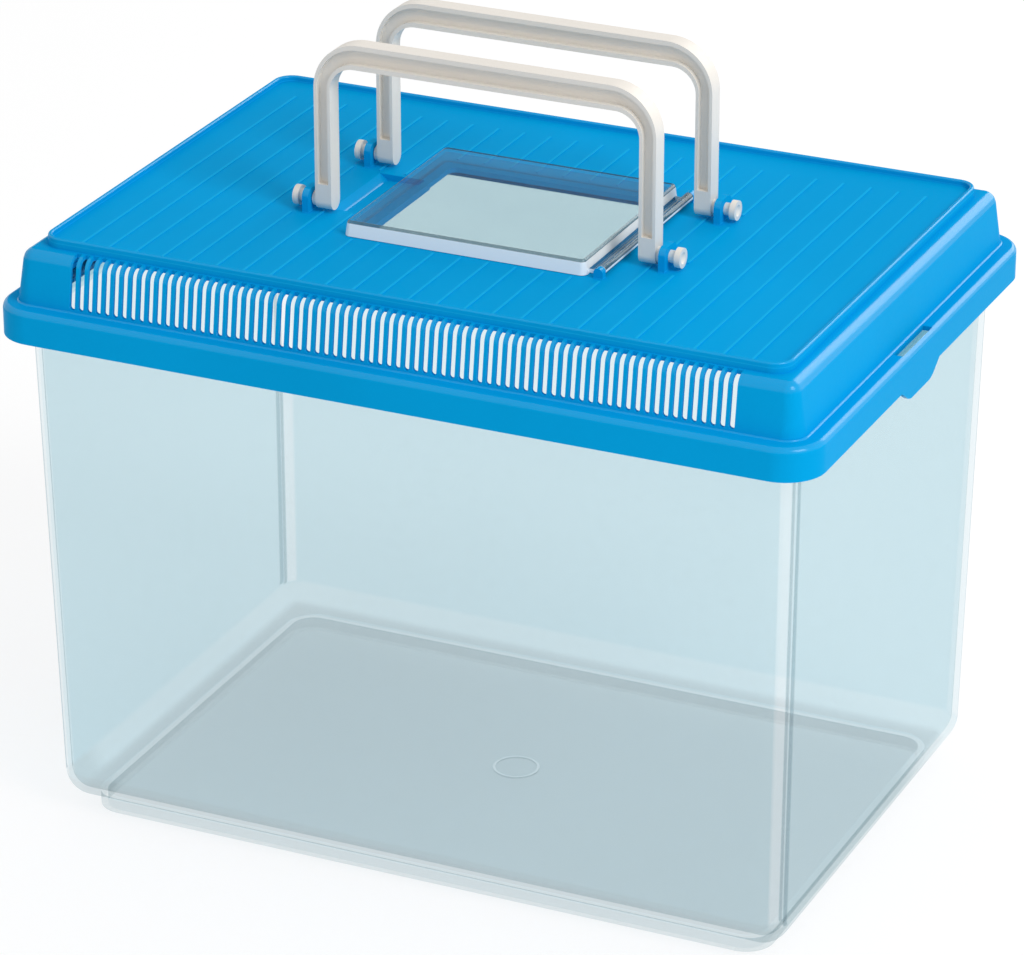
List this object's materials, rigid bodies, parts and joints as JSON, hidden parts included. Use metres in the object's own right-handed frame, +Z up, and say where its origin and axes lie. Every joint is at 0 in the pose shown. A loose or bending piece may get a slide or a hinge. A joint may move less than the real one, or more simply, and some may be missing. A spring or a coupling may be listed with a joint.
{
  "type": "plastic pet keeper",
  "caption": "Clear plastic tank with tapered walls under a clip-on vented lid with a hinged clear feeding hatch and fold-down carry handles.",
  "frame": {"origin": "on the ground under the middle of the tank, bottom centre of the bounding box", "axes": "+Z up, +X along the long side to the right, the long front side faces -Y, the hatch hinges at +X"},
  "size_m": [0.3, 0.209, 0.2818],
  "materials": {
    "tank_clear": "clear glossy polystyrene",
    "lid_blue": "glossy blue moulding with faint flow texture",
    "hatch_clear": "clear glossy polystyrene",
    "handle_grey": "satin light warm grey moulding"
  },
  "bodies": {
    "tank": {"tank": "tank_clear"},
    "lid": {"lid": "lid_blue"},
    "hatch": {"hatch": "hatch_clear"},
    "front_handle": {"front_handle": "handle_grey"},
    "rear_handle": {"rear_handle": "handle_grey"}
  },
  "joints": [
    {"name": "lid_lift", "type": "slide", "parent": "tank", "child": "lid", "axis": [0, 0, 1], "range_m": [0, 0.15]},
    {"name": "hatch_hinge", "type": "hinge", "parent": "lid", "child": "hatch", "pos_m": [0.0496, -0.003, 0.221], "axis": [0, 1, 0], "range_deg": [0, 26]},
    {"name": "front_handle_pivot", "type": "hinge", "parent": "lid", "child": "front_handle", "pos_m": [0, -0.0242, 0.2233], "axis": [1, 0, 0], "range_deg": [-20, 90]},
    {"name": "rear_handle_pivot", "type": "hinge", "parent": "lid", "child": "rear_handle", "pos_m": [0, 0.0242, 0.2233], "axis": [-1, 0, 0], "range_deg": [-20, 90]}
  ]
}
